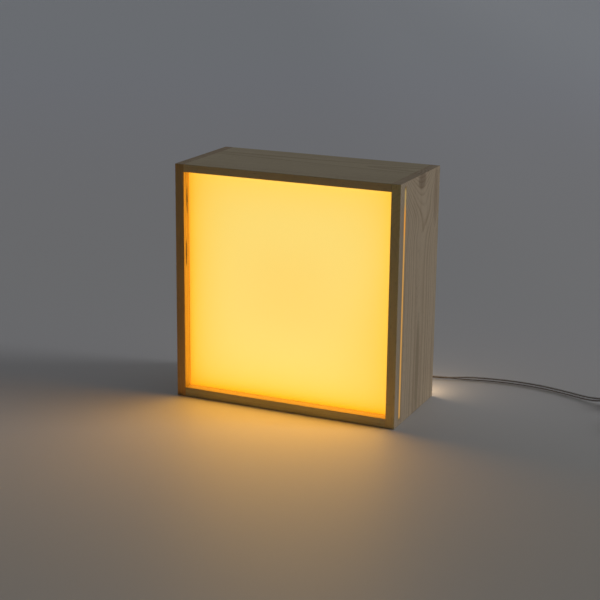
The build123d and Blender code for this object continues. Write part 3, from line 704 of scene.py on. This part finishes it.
# soldering pads in pairs on both sides of each cutting line, and the tracks along the edges
pad = m.mul(m.mul(m.step(u, 0.45, 0.55), m.step(u, 2.2, 2.3, 1.0, 0.0)), m.mul(m.step(v, 1.2, 1.3), m.step(v, 3.4, 3.5, 1.0, 0.0)))
cut = m.step(u, 0.12, 0.2, 1.0, 0.0)
track = m.mul(m.step(v, 3.9, 4.0), m.step(v, 4.6, 4.7, 1.0, 0.0))
mask = m.mix(fine, rgb(236, 236, 232), rgb(222, 222, 216))
mask = m.mix(m.mul(track, 0.5), mask, rgb(206, 208, 196))
mask = m.mix(m.mul(cut, 0.7), mask, rgb(120, 118, 110))
m.set(color=m.mix(pad, mask, rgb(206, 176, 112)), metal=pad, rough=m.math("MULTIPLY_ADD", fine, 0.12, 0.34))
m.bump(m.sub(m.mul(fine, 0.3), m.mul(pad, 0.7)), 0.2, 0.0001)
dress(m.mat, "led_strip_boards")
m = Tree("led_chip")
x, y, z = m.xyz()
geo = m.t.nodes.new("ShaderNodeNewGeometry")
nrm = m.t.nodes.new("ShaderNodeSeparateXYZ")
m.t.links.new(geo.outputs["True Normal"], nrm.inputs[0])
fine = m.noise(m.vec(x, y, z), 3.0, 3.0, 0.6)
# the phosphor lies on the floor of the package's round recess
dish = m.mul(m.mul(m.step(y, 59.95, 60.1), m.step(y, 60.3, 60.45, 1.0, 0.0)), m.step(m.mul(nrm.outputs[1], -1.0), 0.5, 0.7))
body = m.mix(fine, rgb(240, 238, 230), rgb(222, 218, 206))
m.set(color=m.mix(dish, body, rgb(244, 206, 92)), rough=m.math("MULTIPLY_ADD", fine, 0.15, 0.3), emit=m.mix(fine, (1.0, 0.74, 0.32, 1.0), (1.0, 0.68, 0.26, 1.0)), power=m.math("MULTIPLY_ADD", dish, 9.0, 0.5))
m.mat.cycles.emission_sampling = "NONE"
dress(m.mat, "led_chips")

# ------------------------------------------------------------------ floor, world and lights
bpy.ops.mesh.primitive_plane_add(size=1)
floor = bpy.context.object
floor.name = "floor"
floor.scale = (40, 40, 1)
floor.location = (0, 8, 0)
m = Tree("floor_pale")
x, y, z = m.xyz()
geo = m.t.nodes.new("ShaderNodeNewGeometry")
sep = m.t.nodes.new("ShaderNodeSeparateXYZ")
m.t.links.new(geo.outputs["Position"], sep.inputs[0])
x, y = sep.outputs[0], sep.outputs[1]
# painted light: a pale sheet whose colour grows a little brighter and cooler towards the back and the right, by place
# on the floor in metres, standing in for the fall of the room's light
deep = m.add(m.mul(x, -0.434), m.mul(y, 0.901))
across = m.add(m.mul(x, 0.901), m.mul(y, 0.434))
shade = m.mul(m.step(deep, -0.56, 0.15, 0.615, 0.77), m.add(m.step(across, 0.05, 0.6, 1.0, 1.08), m.step(across, 0.6, 1.4, 0.0, 0.13)))
green_tint = m.add(m.step(deep, -0.2, 0.6, 1.0, 1.015), m.step(deep, 0.8, 4.5, 0.0, 0.05))
blue_tint = m.add(m.step(deep, -0.5, 0.3, 0.97, 1.06), m.step(deep, 0.5, 3.5, 0.0, 0.12))
cc = m.t.nodes.new("ShaderNodeCombineColor")
for k, v in enumerate((shade, m.mul(shade, green_tint), m.mul(shade, blue_tint))):
    m.put(cc.inputs[k], v)
m.set(color=cc.outputs[0], rough=0.58, spec=0.30)
floor.data.materials.append(m.mat)

world = bpy.data.worlds.new("world")
scene.world = world
world.use_nodes = True
wt = world.node_tree
bg = wt.nodes["Background"]
# a soft room: pale behind, dark on the camera's side
co = wt.nodes.new("ShaderNodeTexCoord")
dot = wt.nodes.new("ShaderNodeVectorMath")
dot.operation = "DOT_PRODUCT"
wt.links.new(co.outputs["Generated"], dot.inputs[0])
dot.inputs[1].default_value = Vector((0.0, 0.95, 0.3)).normalized()
ramp = wt.nodes.new("ShaderNodeMapRange")
ramp.interpolation_type = "SMOOTHSTEP"
ramp.inputs[1].default_value, ramp.inputs[2].default_value = -0.3, 0.9
ramp.inputs[3].default_value, ramp.inputs[4].default_value = 0.014, 0.235
wt.links.new(dot.outputs["Value"], ramp.inputs[0])
bg.inputs[0].default_value = (1.0, 1.0, 1.0, 1.0)
wt.links.new(ramp.outputs[0], bg.inputs[1])

# a large soft light far off to the right and a little behind
key_data = bpy.data.lights.new("key", "SUN")
key_data.energy = 0.5
key_data.angle = math.radians(20)
key_az, key_el = math.radians(17), math.radians(21)
key = bpy.data.objects.new("key", key_data)
key.rotation_mode = "QUATERNION"
key.rotation_quaternion = Vector((math.cos(key_az) * math.cos(key_el), math.sin(key_az) * math.cos(key_el), math.sin(key_el))).to_track_quat("Z", "Y")
scene.collection.objects.link(key)

# the light that the panel sheds in front of it
glow_data = bpy.data.lights.new("panel_light", "AREA")
glow_data.energy = 0.585
glow_data.color = (1.0, 0.46, 0.045)
glow_data.shape = "RECTANGLE"
glow_data.size, glow_data.size_y = 0.2755, 0.2815
glow = bpy.data.objects.new("panel_light", glow_data)
glow.location = (0, -0.05625, 0.153)
glow.rotation_mode = "QUATERNION"
glow.rotation_quaternion = Vector((0, -1, 0)).to_track_quat("-Z", "Y")
glow.visible_camera = False
scene.collection.objects.link(glow)
NODES["diffuser_panel"].visible_diffuse = False

# the little light that leaves through the slots of the back panel
leak_data = bpy.data.lights.new("back_leak", "AREA")
leak_data.energy = 0.017
leak_data.color = (1.0, 0.70, 0.40)
leak_data.shape = "RECTANGLE"
leak_data.size, leak_data.size_y = 0.030, 0.016
leak = bpy.data.objects.new("back_leak", leak_data)
leak.location = (0.126, 0.0775, 0.036)
leak.rotation_mode = "QUATERNION"
leak.rotation_quaternion = Vector((0.25, 0.75, -0.6)).to_track_quat("-Z", "Y")
leak.visible_camera = False
scene.collection.objects.link(leak)

# what the sheet and the boards throw back onto the LED side of the chamber; it shows when the panel is drawn out
inner_data = bpy.data.lights.new("chamber_light", "AREA")
inner_data.energy = 0.2
inner_data.color = (1.0, 0.78, 0.45)
inner_data.shape = "RECTANGLE"
inner_data.size, inner_data.size_y = 0.25, 0.26
inner = bpy.data.objects.new("chamber_light", inner_data)
inner.location = (0, -0.040, 0.153)
inner.rotation_mode = "QUATERNION"
inner.rotation_quaternion = Vector((0, 1, 0)).to_track_quat("-Z", "Y")
inner.visible_camera = False
scene.collection.objects.link(inner)
